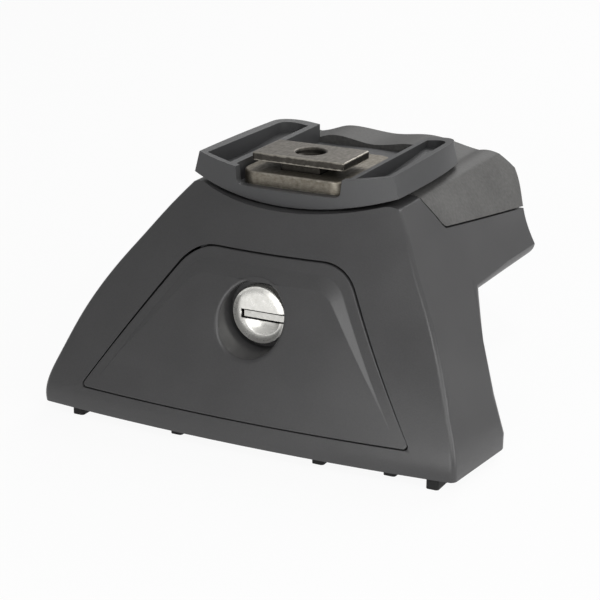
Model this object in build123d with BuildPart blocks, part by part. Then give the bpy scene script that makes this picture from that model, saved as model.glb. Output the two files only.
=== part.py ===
"""Lockable roof bar foot: a cast chassis inside a moulded housing, with a bar pad and clamp nut on top,
a lock-held front cover, and a screw-driven jaw in the base.

Millimetres. X runs along the foot's length, -Y is the side with the cover and lock, +Y is the side
where the arm reaches out under the bar, and +Z is up. z = 0 is the underside of the rubber ribs.
"""
from build123d import *
import os
from math import sqrt

os.makedirs("parts", exist_ok=True)

# Driving dimensions of the outer form
rib_height = 2.8          # rubber ribs below the housing
rib_width = 3.5
rib_round = 0.8
skirt_height = 4.2        # upright band along the housing's lower edge
body_height = 52.8        # from the skirt's top to the middle of the top face
base_half = 62.1          # half length at the skirt, at the front corners
top_half = 33.5           # half length at the top face
flank_share = 0.52        # part of the flank's lean that is straight, the rest is bowed
front_base_y = -15.6      # front corners at the skirt
front_rake = 29.8         # how far the front leans back over the body height
rake_share = 0.545        # part of the front's lean that is straight
front_bulge = 3.4         # how far the middle of the front stands out at the skirt
bulge_growth = 2.8        # extra bulge at the top
edge_round = 1.8          # rounding of the two front edges
flank_round = 4.5         # rounding of the flanks' rear and lower edges
arm_edge_round = 5.6      # to which that grows along the arm
throat_round = 5.0        # rounding where the column meets the arm
arm_end_round = 5.0       # rounding of the arm's lower end
base_rear_y = 14.2        # rear face at the foot of the column
column_run = 21.5         # lean of the column's rear face up to the throat, an arc upright at its foot
throat_drop = 23.4        # from the top face down to where the column meets the arm's underside
arm_depth = 24.5          # from the top face down to the arm's underside at its end
arm_low_y = 76.5          # arm's end at its lower edge
arm_high_y = 88.0         # arm's end at its upper edge
arm_end_drop = 2.3        # arm's upper edge below the top face
arm_crown_run = 9.5       # how far the arm's end leans in above its upper edge
arm_crown_bow = (3.0, 4.1)  # a point on that lean: in from the upper edge, and above it
top_radius = 120.0        # hollow of the top face, across the foot
shoulder_half = 27.0      # where the hollow top rolls over to the flanks
shoulder_out = 1.6        # end of the roll outside the top's half length
shoulder_drop = 1.8       # and below the top face
shoulder_bow = 0.9        # height lost halfway along the roll
wall = 3.0                # housing wall
lean_share = 1.15         # way in along X or Y for a wall's thickness across a leaning face

# Rear boot
boot_thick = 1.4
boot_front_y = 29.0       # front edge of the boot at the top
boot_corner_y = 31.8      # front lower corner of the boot
boot_corner_drop = 5.8    # that corner below the top face
boot_corner_round = 2.4
boot_front_rise = 2.0     # where the boot's front edge starts to slope, above the top face
boot_drop = 6.4           # how far the lower seam falls over the next length
boot_run = 48.0
boot_seam = 0.45          # open seam around the boot
hump_rise = 6.7           # ridges behind the pad above the hollow of the top face
hump_dip = 1.3            # hollow between the two ridges
hump_half = 14.0          # ridge to the middle
hump_side = 22.0          # outer side of the ridges
hump_foot = 27.5          # where the ridges run out
hump_side_share = 0.58    # height of the ridges at their outer side
crown_room = 0.6          # form above the ridges

# Front cover and lock
cover_low_half = 49.6
cover_high_half = 22.5
cover_foot = 2.75         # cover's lower corners above the skirt
cover_head = 10.2         # cover's upper edge below the top face
cover_sag = 0.15          # how far the cover's lower edge bows down in the middle
cover_round_high = 13.0
cover_round_low = 1.0
cover_gap = 0.5
cover_thick = 2.4
lock_sink = 3.7           # lock's face behind the cover's face
lock_head_r = 8.0
lock_head_thick = 3.0
lock_head_chamfer = 0.7
lock_mouth_r = 9.6
lock_seat = 0.3           # between the lock's head and the floor of its mouth
boss_wall = 1.6           # around the lock's mouth
lock_share = 0.355        # part of the free height around the lock's boss that lies between it and the clamp
boss_length = 7.6         # behind the floor of the mouth
sleeve_r = 7.3
sleeve_length = 10.3
barrel_r = 5.6
barrel_length = 12.3      # from the back of the head to the cam's seat
key_thick = 2.0           # height of the key slot
key_start = 5.8           # from the middle of the lock to the slot's closed end
key_end = 1.5             # solid end of the barrel behind the key's way
wafer_thick = 0.8
wafer_pitch = 1.9
wafer_count = 5
wafer_lead = 1.6          # first wafer behind the head
cam_thick = 2.2
cam_reach = 11.6
cam_width = 8.0
cam_hub = 1.0             # hub around the cam's square, beyond its half width
cam_round = 1.5
cam_screw_r = 1.5
cam_screw_bite = 1.0      # screw beyond the cam
cam_head_share = 0.6      # head's radius for the cam's width
cam_head_height = 1.6
head_round = 0.8          # edge of the screws' and bolts' heads
slot_length = 5.0         # driver slots
slot_width = 0.9
slot_depth = 0.8
peg_x = 38.0
peg_rise = 6.6            # pegs above the cover's lower corners
peg_r = 2.5
peg_reach = 12.4          # pegs' ends behind the cover's face
post_wall = 2.0           # around the pegs
post_depth = 6.0

# Bar pad, clamp plate and nut
pad_half = 29.3           # half length at the front corners of the rims
pad_rear_half = 28.0
pad_side_bow = 0.3        # how far the sides bow out at the rims
pad_flare = 3.0           # pad's underside beyond the rims at the front corners
pad_flare_bow = 4.4       # how far its sides bow out there
pad_corner_y = 16.2       # front corners
pad_bulge = 5.2           # middle of the front edge ahead of the corners
pad_rear_y = 65.5
pad_rear_round = 9.0
pad_lift = 0.6            # shadow gap between the housing's top and the pad
pad_height = 8.2          # rim above the pad's underside, at the middle
pad_radius = 100.0        # hollow of the pad's underside, across the foot
rim_radius = 165.0        # hollow of the rims, across the foot
channel_half = 17.2
channel_floor = 3.8       # above the pad's underside
sill_height = 4.1         # front lip above the pad's underside
sill_half = 15.6
sill_thick = 2.3
sill_flare = 1.2          # how far the lip's opening widens to each side
sill_round = 1.6
tray_wall = 1.8
tray_floor = 1.7
tray_round = 5.0          # rear outer corner of each tray
tray_end = 4.0            # pad behind each tray
tray_ramp = 12.0          # tray's floor starts to rise this far behind the nut's middle
tray_lip = 0.8            # end of the ramp below the rim
plate_half = 16.2
plate_depth = 32.0
plate_thick = 3.8
plate_round = 5.0
plate_edge = 0.5
nut_length = 28.0
nut_depth = 16.0
nut_thick = 2.2
nut_gap = 2.2             # space for the bar's slot lips
nut_corner = 0.8
nut_edge = 0.4
thread_lead = 0.5         # countersink of the nut's thread
nut_y = 26.0
neck_width = 11.4
neck_depth = 12.0
neck_below = 2.0          # neck below the clamp plate
bar_bolt_r = 4.0          # M8
bar_bolt_engage = 5.2     # bolt tip above the bottom of the neck
bolt_head_r = 6.5
bolt_head_height = 8.0
bolt_tip = 0.8            # chamfer at the bolt's end
hex_share = 0.46          # half the hex socket's width for the head's radius
hex_depth_share = 0.58
bolt_access_r = 4.6       # hole in the column's rear for the key that turns the bar bolt
washer_r = 8.0
washer_thick = 1.6
nut_travel = 1.9          # each way

# Cast chassis
cheek_inner = 18.0
cheek_thick = 5.0
deck_thick = 4.0
seat_half = 14.5
seat_front_y = 16.0
seat_rear_y = 62.0
chassis_gap = 0.8         # between the chassis and the housing's inner wall
keeper_height = 5.4
keeper_thick = 3.0
lightening_height = 0.5   # window in the cheeks, for the space between arm and deck
lightening_length = 0.7   # and for the arm's length
lightening_round = 3.0
base_plate_thick = 3.7
pad_sheet_thick = 2.5

# Base clamp
claw_half = 17.0
claw_wall = 3.0
claw_rear_y = -10.5       # fixed claw's gripping wall
claw_room = 0.5           # rubber clear of the claw at each side
claw_lip = 2.5
claw_lip_thick = 2.2
claw_bottom_z = 1.0
jaw_front_y = 1.5         # moving jaw's gripping wall
jaw_wall = 3.0
jaw_head_room = 5.6       # jaw above its bolt
jaw_travel = 3.5
jaw_boss = 2.0            # nut boss in front of the jaw's wall
jaw_boss_round = 2.0
jaw_bolt_r = 4.0          # M8
jaw_bolt_rise = 6.4       # bolt above the base plate
jaw_bolt_end = 0.8        # bolt beyond the open jaw
jaw_head_r = 6.0
jaw_head_height = 3.5
jaw_washer_r = 6.4
jaw_washer_thick = 1.2
bridge_front_y = -5.0
bridge_thick = 3.2
bridge_height = 12.0
clip_thick = 0.8
clip_r = 6.0
clip_groove = 0.6         # groove's depth

# Screws
screw_r = 1.6
screw_head_r = 3.2
screw_head_height = 2.0
cross_length = 3.4        # driver cross
cross_width = 0.8
cross_depth = 1.2
screw_boss_r = 3.6
boss_sink = 0.8           # boss into the housing's top wall
screw_end = 0.4           # solid boss above a screw's hole
pad_screw_end = 0.8       # solid pad above a screw's hole
tip_room = 0.5            # hole beyond a screw's tip
front_screw = (27.0, 40.0)
rear_screw = (10.0, 70.5)
pad_screw = (10.0, 56.0)

# Fits
running = 0.06            # round pieces that turn or slide in a bore
slip = 0.4                # flat pieces that slide past each other
touch = 0.1               # seated skins
press = 0.02              # round pieces pressed into a bore

# Heights that follow
skirt_z = rib_height + skirt_height
top_z = skirt_z + body_height
pad_z = top_z + pad_lift
floor_z = pad_z + channel_floor
plate_top_z = floor_z + plate_thick
nut_low_z = plate_top_z + nut_gap
nut_top_z = nut_low_z + nut_thick
neck_low_z = floor_z - neck_below
seat_z = pad_z + pad_lift
deck_z = top_z - wall - chassis_gap
deck_low_z = deck_z - deck_thick
bolt_seat_z = deck_low_z - washer_thick
base_plate_z = rib_height + pad_sheet_thick
base_top_z = base_plate_z + base_plate_thick
throat_z = top_z - throat_drop
column_rise = throat_z - rib_height
arm_under_z = top_z - arm_depth
arm_high_z = top_z - arm_end_drop
crown_z = top_z + hump_rise + crown_room
boot_corner_z = top_z - boot_corner_drop
cover_low_z = skirt_z + cover_foot
cover_high_z = top_z - cover_head
peg_z = cover_low_z + peg_rise
jaw_bolt_z = base_top_z + jaw_bolt_rise
jaw_top_z = jaw_bolt_z + jaw_head_room
lock_boss_r = lock_mouth_r + boss_wall
lock_z = jaw_top_z + lock_boss_r + lock_share * (cover_high_z - jaw_top_z - 2 * lock_boss_r)
far = 2.0 * arm_high_y    # well outside the part in every direction


def body_share(z):
    """Share of the body height at a height, none along the skirt."""
    return max(z - skirt_z, 0.0) / body_height


def front_corner(z):
    """Half length and front corner depth of the outer form at a height."""
    t = body_share(z)
    x = base_half - (base_half - top_half) * (flank_share * t + (1 - flank_share) * t * t)
    y = front_base_y + front_rake * (rake_share * t + (1 - rake_share) * t * t)
    return x, y


def front_middle_y(z):
    """Depth of the middle of the front face at a height."""
    return front_corner(z)[1] - front_bulge - bulge_growth * body_share(z)


def front_y(x, z):
    """Depth of the outer front face at a place in the front view."""
    half, corner = front_corner(z)
    middle = front_middle_y(z)
    return middle + (corner - middle) * (x / half) ** 2


# How the flanks toe out towards the rear, at shares of the body height
toes = [
    (0.0, 0.1),
    (0.25, 0.05),
    (0.5, -0.015),
    (0.7, -0.032),
    (0.87, -0.002),
    (1.0, 0.004),
    (1.3, 0.004),
]


def flank_x(y, z):
    """Half length of the outer form at a depth and height."""
    half, corner = front_corner(z)
    share = body_share(z)
    for (low, low_toe), (high, high_toe) in zip(toes, toes[1:]):
        if low <= share <= high:
            toe = low_toe + (high_toe - low_toe) * (share - low) / (high - low)
    return half + toe * (y - corner)


def column_y(z, inset):
    """Depth of the column's rear face, an arc that starts upright at its foot and ends at the throat."""
    middle = (column_run**2 + column_rise**2) / (2 * column_run)
    radius = middle + inset
    rise = z - rib_height
    return base_rear_y + middle - sqrt(radius * radius - rise * rise)


def hollow_z(x, middle, radius):
    """Height of a face that is hollow across the foot, at a distance from its middle."""
    return middle + radius - sqrt(radius * radius - x * x)


def boss_hole_z(x):
    """End of the screw hole in the housing's boss at a distance from the middle."""
    return hollow_z(x, top_z, top_radius) - wall + boss_sink - screw_end


def pad_hole_z(x):
    """End of the screw holes in the pad, the same at each."""
    return floor_z - pad_screw_end


form_shares = (0, 0.07, 0.2, 0.35, 0.5, 0.65, 0.8, 0.9, 1)
form_heights = [rib_height + share * (crown_z - rib_height) for share in form_shares]
throat_y = column_y(throat_z, 0)
lock_face_y = front_y(0, lock_z) + lock_sink


def foot_form(inset):
    """Solid of the foot's front, flanks, throat and arm, moved in by inset, not yet cut at the top."""
    lean = lean_share * inset
    throat = (column_y(throat_z + inset, inset), throat_z + inset)
    arm_low = (arm_low_y - inset, arm_under_z + inset)
    arm_high = (arm_high_y - inset, arm_high_z)
    arm_round = (arm_high_y - arm_crown_bow[0] - inset, arm_high_z + arm_crown_bow[1])
    arm_top = (arm_high_y - arm_crown_run - inset, crown_z)
    mid_z = (rib_height + throat_z) / 2
    with BuildPart() as flanks:
        for y in (2 * front_base_y, 1.2 * arm_high_y):
            with BuildSketch(Plane.XZ.offset(-y)):
                with BuildLine():
                    right = [(flank_x(y, z) - lean, z) for z in form_heights]
                    left = [(-x, z) for x, z in reversed(right)]
                    Spline(*right)
                    Line(right[-1], left[0])
                    Spline(*left)
                    Line(left[-1], right[0])
                make_face()
        loft(ruled=True)
    with BuildPart() as front:
        for z in form_heights:
            half, corner = front_corner(z)
            wide = 1.5 * half
            side_y = front_y(wide, z) + lean
            with BuildSketch(Plane.XY.offset(z)):
                with BuildLine():
                    ThreePointArc((-wide, side_y), (0, front_middle_y(z) + lean), (wide, side_y))
                    Polyline((wide, side_y), (wide, far), (-wide, far), (-wide, side_y))
                make_face()
        loft()
    with BuildPart() as form:
        with BuildSketch(Plane.YZ) as side:
            with BuildLine():
                Polyline((-far, crown_z), (-far, rib_height), (base_rear_y - inset, rib_height))
                ThreePointArc((base_rear_y - inset, rib_height), (column_y(mid_z, inset), mid_z), throat)
                Polyline(throat, arm_low, arm_high)
                ThreePointArc(arm_high, arm_round, arm_top)
                Line(arm_top, (-far, crown_z))
            make_face()
            fillet(side.vertices().sort_by_distance(throat)[0], radius=throat_round + inset)
            fillet(side.vertices().sort_by_distance(arm_low)[0], radius=max(arm_end_round - inset, 0.3))
        extrude(amount=far, both=True)
        add(flanks.part, mode=Mode.INTERSECT)
        add(front.part, mode=Mode.INTERSECT)
        front_edges = form.edges().filter_by(
            lambda edge: abs(edge.center().X) > top_half
            and edge.center().Y < base_rear_y
            and edge.length > 0.5 * body_height
            and abs(edge.center().Z - rib_height) > skirt_height
        )
        fillet(front_edges, radius=max(edge_round - inset, 0.4))
    return form.part


def flank_rounding():
    """Two cutters that round the right flank's rear and lower edges, parted at the throat's mitre.

    Each section lies across the edge: its corner, a point on the rear or lower face, and one on the
    flank.
    """
    stops = []
    for share in (-0.03, 0.12, 0.4, 0.75):
        z = rib_height + share * (throat_z - rib_height)
        stops.append((column_y(z, 0), z, -1, 0, flank_round))
    stops.append((throat_y, throat_z, -1, 1, flank_round))
    mitre = len(stops)
    fall = (arm_under_z - throat_z) / (arm_low_y - throat_y)
    for y, size in (
        ((throat_y + arm_low_y) / 2, (flank_round + arm_edge_round) / 2),
        (arm_high_y + arm_edge_round, arm_edge_round),
    ):
        stops.append((y, throat_z + fall * (y - throat_y), 0, 1, size))
    cutters = []
    for run in (stops[:mitre], stops[mitre - 1 :]):
        with BuildPart() as cutter:
            for y, z, along_y, along_z, size in run:
                corner = Vector(flank_x(y, z), y, z)
                across = Vector(-size, 0, 0)
                flank_y = y + along_y * size
                flank_z = z + along_z * size
                flank = Vector(flank_x(flank_y, flank_z), flank_y, flank_z) - corner
                plane = Plane(origin=corner, x_dir=across, z_dir=across.cross(flank))
                u = flank.dot(plane.x_dir)
                v = flank.dot(plane.y_dir)
                arc_share = 1 - sqrt(0.5)
                with BuildSketch(plane):
                    with BuildLine():
                        ThreePointArc((size, 0), (arc_share * (size + u), arc_share * v), (u, v))
                        Polyline((u, v), (u - size, v), (-u - size, -v), (size - u, -v), (size, 0))
                    make_face()
            loft(ruled=True)
        cutters.append(cutter.part)
    return cutters


def top_cut(inset):
    """Solid below the hollow top face and its rolled shoulders, moved down by inset."""
    edge_z = hollow_z(shoulder_half, top_z, top_radius) - inset
    roll_x = top_half + shoulder_out
    roll_z = top_z - shoulder_drop - inset
    bow_x = shoulder_half + 0.62 * (roll_x - shoulder_half)
    wide = 1.3 * base_half
    with BuildPart() as below:
        with BuildSketch(Plane.XZ):
            with BuildLine():
                ThreePointArc((-shoulder_half, edge_z), (0, top_z - inset), (shoulder_half, edge_z))
                for side in (1, -1):
                    ThreePointArc(
                        (side * shoulder_half, edge_z),
                        (side * bow_x, edge_z - shoulder_bow),
                        (side * roll_x, roll_z),
                    )
                    Polyline((side * roll_x, roll_z), (side * wide, roll_z), (side * wide, 0), (0, 0))
            make_face()
        extrude(amount=far, both=True)
    return below.part


def boot_region(seam):
    """Block over the rear of the foot that the boot covers, moved in by the seam."""
    fall = boot_drop / boot_run
    with BuildPart() as region:
        with BuildSketch(Plane.YZ) as cut:
            with BuildLine():
                Polyline(
                    (boot_front_y + seam, top_z + 3 * hump_rise),
                    (boot_front_y + seam, top_z + boot_front_rise),
                    (boot_corner_y + seam, boot_corner_z + seam),
                    (far, boot_corner_z + seam - fall * (far - boot_corner_y)),
                    (far, top_z + 3 * hump_rise),
                    close=True,
                )
            make_face()
            fillet(cut.vertices().sort_by(Axis.Y)[1], radius=boot_corner_round)
        extrude(amount=far, both=True)
    return region.part


def cover_outline(gap):
    """Draw the front view of the cover, moved out by gap."""
    back_y = front_y(cover_high_half, cover_high_z) + lean_share * wall + chassis_gap
    with BuildSketch(Plane.XZ.offset(-back_y)) as front:
        with BuildLine():
            Polyline(
                (cover_low_half + gap, cover_low_z - gap),
                (cover_high_half + gap, cover_high_z + gap),
                (-cover_high_half - gap, cover_high_z + gap),
                (-cover_low_half - gap, cover_low_z - gap),
            )
            ThreePointArc(
                (-cover_low_half - gap, cover_low_z - gap),
                (0, cover_low_z - cover_sag - gap),
                (cover_low_half + gap, cover_low_z - gap),
            )
        make_face()
        fillet(front.vertices().group_by(Axis.Y)[-1], radius=cover_round_high)
        fillet(front.vertices().group_by(Axis.Y)[0], radius=cover_round_low)
    return front.sketch


# Outer form, its hollow, the bed under the boot, and the blank of the chassis inside
with BuildPart() as outer_form:
    add(foot_form(0))
    for cutter in flank_rounding():
        add(cutter, mode=Mode.SUBTRACT)
        add(mirror(cutter, about=Plane.YZ, mode=Mode.PRIVATE), mode=Mode.SUBTRACT)
outer = outer_form.part
outer_body = outer & top_cut(0)
cavity = foot_form(wall) & top_cut(wall)
boot_bed = boot_region(0) - (foot_form(boot_thick) & top_cut(boot_thick))
boot_back = foot_form(boot_thick - touch) & top_cut(boot_thick - touch)
cover_back = foot_form(cover_thick)
chassis_blank = foot_form(wall + chassis_gap) & top_cut(wall + chassis_gap)
sheet_blank = foot_form(wall + touch)
screw_spots = [(side * x, y) for x, y in (front_screw, rear_screw) for side in (1, -1)]
pad_screw_spots = [(side * pad_screw[0], pad_screw[1]) for side in (1, -1)]

# Housing: one moulding, open below, with the cover's opening in front and the chassis's seat on top
window_half = seat_half + chassis_gap
with BuildPart() as housing:
    add(outer_body)
    add(cavity, mode=Mode.SUBTRACT)
    add(boot_bed, mode=Mode.SUBTRACT)
    extrude(cover_outline(cover_gap), amount=far, mode=Mode.SUBTRACT)
    for x, y in screw_spots:
        with BuildSketch(Plane((x, y, deck_z))):
            Circle(screw_boss_r)
        extrude(amount=boss_hole_z(x) + screw_end - deck_z)
        with BuildSketch(Plane((x, y, deck_z))):
            Circle(screw_r + touch)
        extrude(amount=boss_hole_z(x) - deck_z, mode=Mode.SUBTRACT)
    with BuildSketch(Plane.XY.offset(deck_z)):
        with Locations((0, (seat_front_y + seat_rear_y) / 2)):
            Rectangle(2 * window_half, seat_rear_y - seat_front_y + 2 * chassis_gap)
    extrude(amount=top_z, mode=Mode.SUBTRACT)
    with BuildSketch(Plane((0, nut_y, bolt_seat_z - bolt_head_height))):
        Circle(bolt_access_r)
    extrude(amount=-bolt_seat_z, mode=Mode.SUBTRACT)
housing.part.label = "housing"
export_step(housing.part, "parts/housing.step")

# Rear boot: a soft skin in a recess, with two ridges behind the pad
hump_y = pad_rear_y + pad_lift
hump_low = hollow_z(hump_foot, top_z, top_radius) - boot_thick / 2
hump_side_z = top_z + hump_side_share * hump_rise
with BuildPart() as hump:
    with BuildSketch(Plane.XZ.offset(-hump_y)):
        with BuildLine():
            Spline(
                (-hump_foot, hump_low),
                (-hump_side, hump_side_z),
                (-hump_half, top_z + hump_rise),
                (0, top_z + hump_rise - hump_dip),
                (hump_half, top_z + hump_rise),
                (hump_side, hump_side_z),
                (hump_foot, hump_low),
            )
            ThreePointArc((hump_foot, hump_low), (0, top_z - boot_thick / 2), (-hump_foot, hump_low))
        make_face()
    extrude(amount=-far)
    add(outer, mode=Mode.INTERSECT)
with BuildPart() as rear_boot:
    add(outer_body)
    add(boot_region(boot_seam), mode=Mode.INTERSECT)
    add(boot_back, mode=Mode.SUBTRACT)
    add(hump.part)
    with BuildSketch(Plane.XY.offset(deck_z)):
        with Locations((0, (seat_front_y + seat_rear_y) / 2)):
            Rectangle(2 * window_half, seat_rear_y - seat_front_y + 2 * chassis_gap)
    extrude(amount=top_z, mode=Mode.SUBTRACT)
rear_boot.part.label = "rear_boot"
export_step(rear_boot.part, "parts/rear_boot.step")

# Front cover: a curved panel with the lock's boss and two locating pegs behind it
sleeve_y = lock_face_y + lock_head_thick + lock_seat
boss_back_y = sleeve_y + boss_length
peg_end_y = front_y(peg_x, peg_z) + peg_reach
with BuildPart() as front_cover:
    add(outer)
    extrude(cover_outline(0), amount=far, mode=Mode.INTERSECT)
    add(cover_back, mode=Mode.SUBTRACT)
with BuildPart() as lock_boss:
    with BuildSketch(Plane.XZ.offset(-boss_back_y)):
        with Locations((0, lock_z)):
            Circle(lock_boss_r)
    extrude(amount=far)
    add(outer, mode=Mode.INTERSECT)
with front_cover:
    add(lock_boss.part)
    for side in (1, -1):
        with BuildSketch(Plane.XZ.offset(-peg_end_y)):
            with Locations((side * peg_x, peg_z)):
                Circle(peg_r)
        extrude(amount=peg_end_y - front_y(peg_x, peg_z) - cover_thick / 2)
    with BuildSketch(Plane.XZ.offset(-sleeve_y)):
        with Locations((0, lock_z)):
            Circle(lock_mouth_r)
    extrude(amount=far, mode=Mode.SUBTRACT)
    with BuildSketch(Plane.XZ.offset(-boss_back_y)):
        with Locations((0, lock_z)):
            Circle(sleeve_r + press)
    extrude(amount=far, mode=Mode.SUBTRACT)
front_cover.part.label = "front_cover"
export_step(front_cover.part, "parts/front_cover.step")

# Lock: sleeve in the cover, core with its wafers, cam and cam screw
lock_plane = Plane(origin=(0, lock_face_y, lock_z), x_dir=(1, 0, 0), z_dir=(0, -1, 0))
head_back = -lock_head_thick
cam_front = head_back - barrel_length
tang = 1.1 * barrel_r
with BuildPart() as lock_sleeve:
    with BuildSketch(lock_plane.offset(lock_face_y - sleeve_y)):
        Circle(sleeve_r)
        Circle(barrel_r + running, mode=Mode.SUBTRACT)
    extrude(amount=-sleeve_length)
lock_sleeve.part.label = "lock_sleeve"
export_step(lock_sleeve.part, "parts/lock_sleeve.step")

wafer_size = (1.6 * barrel_r, 0.8 * barrel_r)
key_width = barrel_r
wafer_first = head_back - wafer_lead
with BuildPart() as lock_core:
    with BuildSketch(lock_plane):
        Circle(lock_head_r)
    extrude(amount=head_back)
    chamfer(lock_core.faces().sort_by(Axis.Y)[0].edges(), length=lock_head_chamfer)
    with BuildSketch(lock_plane.offset(head_back)):
        Circle(barrel_r)
    extrude(amount=-barrel_length)
    with BuildSketch(lock_plane.offset(cam_front)):
        Rectangle(tang, tang)
    extrude(amount=-cam_thick)
    with BuildSketch(lock_plane):
        with Locations((-key_start, 0)):
            Rectangle(key_start + lock_head_r, key_thick, align=(Align.MIN, Align.CENTER))
    extrude(amount=-0.7 * lock_head_thick, mode=Mode.SUBTRACT)
    with BuildSketch(lock_plane):
        Rectangle(key_width, key_thick)
    extrude(amount=cam_front + key_end, mode=Mode.SUBTRACT)
    for index in range(wafer_count):
        with BuildSketch(lock_plane.offset(wafer_first - index * wafer_pitch)):
            Rectangle(wafer_size[0] + 2 * touch, wafer_size[1] + 2 * touch)
        extrude(amount=-wafer_thick - touch, mode=Mode.SUBTRACT)
    with BuildSketch(lock_plane.offset(cam_front - cam_thick)):
        Circle(cam_screw_r + touch / 2)
    extrude(amount=cam_thick + cam_screw_bite + touch, mode=Mode.SUBTRACT)
lock_core.part.label = "lock_core"
export_step(lock_core.part, "parts/lock_core.step")

with BuildPart() as lock_wafers:
    for index in range(wafer_count):
        with BuildSketch(lock_plane.offset(wafer_first - touch / 2 - index * wafer_pitch)):
            Rectangle(*wafer_size)
            Rectangle(key_width + slip, key_thick + slip, mode=Mode.SUBTRACT)
        extrude(amount=-wafer_thick)
lock_wafers.part.label = "lock_wafers"
export_step(lock_wafers.part, "parts/lock_wafers.step")

with BuildPart() as lock_cam:
    with BuildSketch(lock_plane.offset(cam_front)):
        Circle(cam_width / 2 + cam_hub)
        with Locations((cam_reach / 2, 0)):
            Rectangle(cam_reach, cam_width)
        Rectangle(tang + touch, tang + touch, mode=Mode.SUBTRACT)
    extrude(amount=-cam_thick)
    fillet(lock_cam.edges().filter_by(Axis.Y).sort_by(Axis.X)[-2:], radius=cam_round)
lock_cam.part.label = "lock_cam"
export_step(lock_cam.part, "parts/lock_cam.step")

with BuildPart() as cam_screw:
    with BuildSketch(lock_plane.offset(cam_front - cam_thick)):
        Circle(cam_head_share * cam_width)
    extrude(amount=-cam_head_height)
    fillet(cam_screw.faces().sort_by(Axis.Y)[-1].edges(), radius=head_round)
    with BuildSketch(lock_plane.offset(cam_front - cam_thick - cam_head_height)):
        Rectangle(slot_length, slot_width)
    extrude(amount=slot_depth, mode=Mode.SUBTRACT)
    with BuildSketch(lock_plane.offset(cam_front - cam_thick)):
        Circle(cam_screw_r)
    extrude(amount=cam_thick + cam_screw_bite)
cam_screw.part.label = "cam_screw"
export_step(cam_screw.part, "parts/cam_screw.step")

# Bar pad: a soft saddle with an open tray each side of the channel for the clamp plate
pad_front_y = pad_corner_y - pad_bulge


def pad_edge_y(x):
    """Depth of the pad's front edge at a distance from its middle."""
    return pad_front_y + pad_bulge * (x / pad_half) ** 2


rim_z = pad_z + pad_height
tray_in = channel_half + tray_wall
tray_out = pad_half - tray_wall
tray_rear_out = pad_rear_half - tray_wall
tray_low_z = hollow_z(tray_out, pad_z, pad_radius) + tray_floor
tray_front_y = pad_edge_y(tray_out) + tray_wall
tray_rear_y = pad_rear_y - tray_end
with BuildPart() as tray_space:
    with BuildSketch(Plane.YZ.offset(tray_in)):
        with BuildLine():
            Polyline(
                (pad_front_y, rim_z + pad_height),
                (pad_front_y, tray_low_z),
                (nut_y + tray_ramp, tray_low_z),
                (tray_rear_y, rim_z - tray_lip),
                (tray_rear_y, rim_z + pad_height),
                close=True,
            )
        make_face()
    extrude(amount=pad_half)
    with BuildSketch(Plane.XY.offset(pad_z)) as tray_plan:
        with BuildLine():
            Polyline(
                (tray_in, pad_edge_y(tray_in) + tray_wall),
                (tray_out, tray_front_y),
                (tray_rear_out, tray_rear_y),
                (tray_in, tray_rear_y),
                close=True,
            )
        make_face()
        fillet(tray_plan.vertices().group_by(Axis.Y)[-1].sort_by(Axis.X)[-1], radius=tray_round)
    extrude(amount=3 * pad_height, mode=Mode.INTERSECT)
with BuildPart() as pad_block:
    block_top = hollow_z(pad_half, rim_z, rim_radius) + slip
    for z, flare, bow in ((pad_z, pad_flare, pad_flare_bow), (block_top, 0, pad_side_bow)):
        half = pad_half + flare
        middle = ((half + pad_rear_half) / 2 + bow, (pad_corner_y + pad_rear_y) / 2)
        with BuildSketch(Plane.XY.offset(z)) as pad_plan:
            with BuildLine():
                ThreePointArc((-half, pad_corner_y), (0, pad_front_y), (half, pad_corner_y))
                ThreePointArc((half, pad_corner_y), middle, (pad_rear_half, pad_rear_y))
                Line((pad_rear_half, pad_rear_y), (-pad_rear_half, pad_rear_y))
                ThreePointArc((-pad_rear_half, pad_rear_y), (-middle[0], middle[1]), (-half, pad_corner_y))
            make_face()
            fillet(pad_plan.vertices().sort_by(Axis.Y)[-2:], radius=pad_rear_round)
    loft(ruled=True)
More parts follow.
